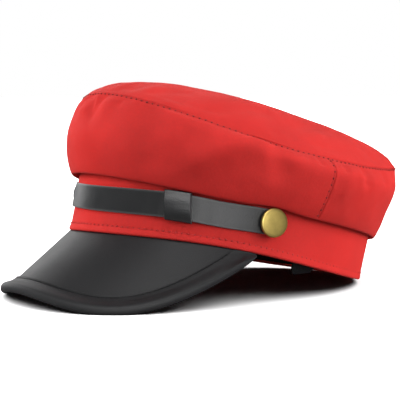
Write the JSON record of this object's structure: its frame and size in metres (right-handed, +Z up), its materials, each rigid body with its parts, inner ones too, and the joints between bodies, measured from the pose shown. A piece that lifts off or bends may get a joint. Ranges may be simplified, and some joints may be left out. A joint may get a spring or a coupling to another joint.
{
  "type": "soft peaked cap",
  "caption": "Soft peaked cap of red cotton: full crown rolled over an upright band, black bound peak, and a black strap with loops between brass buttons; open below for a head.",
  "frame": {"origin": "middle of the cap's outline, on the table that the cap rests on", "axes": "+Z up, -Y towards the tip of the peak, the way the wearer faces, and +X to the wearer's left"},
  "size_m": [0.1936, 0.2772, 0.131],
  "materials": {
    "red_cotton": "matte woven cotton",
    "black_lining": "matte woven tape",
    "peak_leatherette": "satin, fine grain",
    "strap_leatherette": "satin, fine grain",
    "aged_brass": "satin, slightly aged"
  },
  "bodies": {
    "root": {"crown_top": "red_cotton", "crown_side_front": "red_cotton", "crown_side_back": "red_cotton", "band": "red_cotton", "sweatband": "black_lining", "size_tab": "black_lining", "peak": "peak_leatherette", "peak_binding": "peak_leatherette", "strap": "strap_leatherette", "keeper_left": "strap_leatherette", "keeper_right": "strap_leatherette", "button_left": "aged_brass", "button_right": "aged_brass"}
  },
  "joints": []
}
